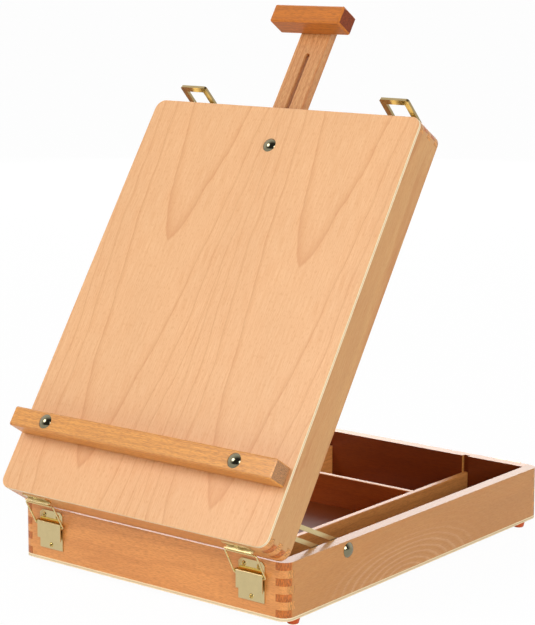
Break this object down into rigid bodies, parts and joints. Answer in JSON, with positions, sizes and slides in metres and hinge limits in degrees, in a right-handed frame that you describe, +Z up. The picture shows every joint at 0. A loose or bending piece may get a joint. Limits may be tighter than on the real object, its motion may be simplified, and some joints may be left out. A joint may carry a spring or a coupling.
{
  "type": "box easel",
  "caption": "Table-top wooden box easel, open: shallow case with trays, tilted lid panel with canvas ledge, sliding mast, slotted stays and brass catches.",
  "frame": {"origin": "bottom centre of the bounding box of the open easel, on the surface its feet stand on", "axes": "+X to the user's right along the front rim, +Y to the rear, +Z up"},
  "size_m": [0.3114, 0.434, 0.503],
  "materials": {
    "beech": "satin clear lacquer on solid beech",
    "beech_ply": "satin clear lacquer on beech plywood",
    "brass": "pale brass plating on pressed steel",
    "nickel": "bright nickel plating",
    "bumper": "amber rubber"
  },
  "bodies": {
    "base": {"base_front_wall": "beech", "base_rear_wall": "beech", "base_left_wall": "beech", "base_right_wall": "beech", "base_panel": "beech_ply", "feet": "bumper", "right_divider": "beech", "left_divider": "beech", "cross_divider": "beech", "stay_bolts": "nickel", "stay_nuts": "nickel", "front_catch_plates": "brass", "front_catch_brackets": "brass", "front_catch_pins": "brass", "front_catch_screws": "brass", "rear_hooks": "brass", "rear_hook_screws": "brass"},
    "lid": {"lid_front_wall": "beech", "lid_rear_wall": "beech", "lid_left_wall": "beech", "lid_right_wall": "beech", "lid_panel": "beech_ply", "ledge": "beech", "ledge_bolts": "nickel", "ledge_nuts": "nickel", "mast_bolt": "nickel", "mast_washer": "nickel", "mast_wing_nut": "nickel", "stay_pivot_screws": "nickel", "front_hooks": "brass", "front_hook_screws": "brass", "rear_catch_plates": "brass", "rear_catch_brackets": "brass", "rear_catch_pins": "brass", "rear_catch_screws": "brass"},
    "mast_unit": {"mast": "beech", "mast_head": "beech", "head_screws": "nickel"},
    "left_stay": {"left_stay": "brass"},
    "right_stay": {"right_stay": "brass"},
    "left_front_lever": {"left_front_lever": "brass"},
    "left_front_bail": {"left_front_bail": "brass"},
    "left_rear_lever": {"left_rear_lever": "brass"},
    "left_rear_loop": {"left_rear_loop": "brass"},
    "right_front_lever": {"right_front_lever": "brass"},
    "right_front_bail": {"right_front_bail": "brass"},
    "right_rear_lever": {"right_rear_lever": "brass"},
    "right_rear_loop": {"right_rear_loop": "brass"}
  },
  "joints": [
    {"name": "lid_tilt", "type": "hinge", "parent": "base", "child": "lid", "pos_m": [0, -0.18815, 0.05707], "axis": [1, 0, 0], "range_deg": [-56.8, 8.2]},
    {"name": "mast_slide", "type": "slide", "parent": "lid", "child": "mast_unit", "axis": [0, 0.5476, 0.8368], "range_m": [-0.0795, 0.235]},
    {"name": "left_stay_slide", "type": "slide", "parent": "base", "child": "left_stay", "axis": [0, -0.9057, 0.424], "range_m": [-0.0306, 0.0048]},
    {"name": "right_stay_slide", "type": "slide", "parent": "base", "child": "right_stay", "axis": [0, -0.9057, 0.424], "range_m": [-0.0306, 0.0048]},
    {"name": "left_front_lever_swing", "type": "hinge", "parent": "base", "child": "left_front_lever", "pos_m": [-0.1161, -0.19126, 0.0424], "axis": [-1, 0, 0], "range_deg": [0, 150]},
    {"name": "left_front_bail_swing", "type": "hinge", "parent": "left_front_lever", "child": "left_front_bail", "pos_m": [-0.1161, -0.19046, 0.0399], "axis": [-1, 0, 0], "range_deg": [-203, 0]},
    {"name": "left_rear_lever_swing", "type": "hinge", "parent": "lid", "child": "left_rear_lever", "pos_m": [-0.1161, 0.02748, 0.40199], "axis": [1, 0, 0], "range_deg": [0, 150]},
    {"name": "left_rear_loop_swing", "type": "hinge", "parent": "left_rear_lever", "child": "left_rear_loop", "pos_m": [-0.1161, 0.03011, 0.40343], "axis": [1, 0, 0], "range_deg": [-317, 0]},
    {"name": "right_front_lever_swing", "type": "hinge", "parent": "base", "child": "right_front_lever", "pos_m": [0.1161, -0.19126, 0.0424], "axis": [-1, 0, 0], "range_deg": [0, 150]},
    {"name": "right_front_bail_swing", "type": "hinge", "parent": "right_front_lever", "child": "right_front_bail", "pos_m": [0.1161, -0.19046, 0.0399], "axis": [-1, 0, 0], "range_deg": [-203, 0]},
    {"name": "right_rear_lever_swing", "type": "hinge", "parent": "lid", "child": "right_rear_lever", "pos_m": [0.1161, 0.02748, 0.40199], "axis": [1, 0, 0], "range_deg": [0, 150]},
    {"name": "right_rear_loop_swing", "type": "hinge", "parent": "right_rear_lever", "child": "right_rear_loop", "pos_m": [0.1161, 0.03011, 0.40343], "axis": [1, 0, 0], "range_deg": [-317, 0]}
  ],
  "couplings": [
    {"joint": "left_stay_slide", "follows": "lid_tilt", "m_per_rad": 0.03},
    {"joint": "right_stay_slide", "follows": "lid_tilt", "m_per_rad": 0.03},
    {"joint": "left_front_bail_swing", "follows": "left_front_lever_swing", "ratio": -1.35},
    {"joint": "left_rear_loop_swing", "follows": "left_rear_lever_swing", "ratio": -2.11},
    {"joint": "right_front_bail_swing", "follows": "right_front_lever_swing", "ratio": -1.35},
    {"joint": "right_rear_loop_swing", "follows": "right_rear_lever_swing", "ratio": -2.11}
  ]
}
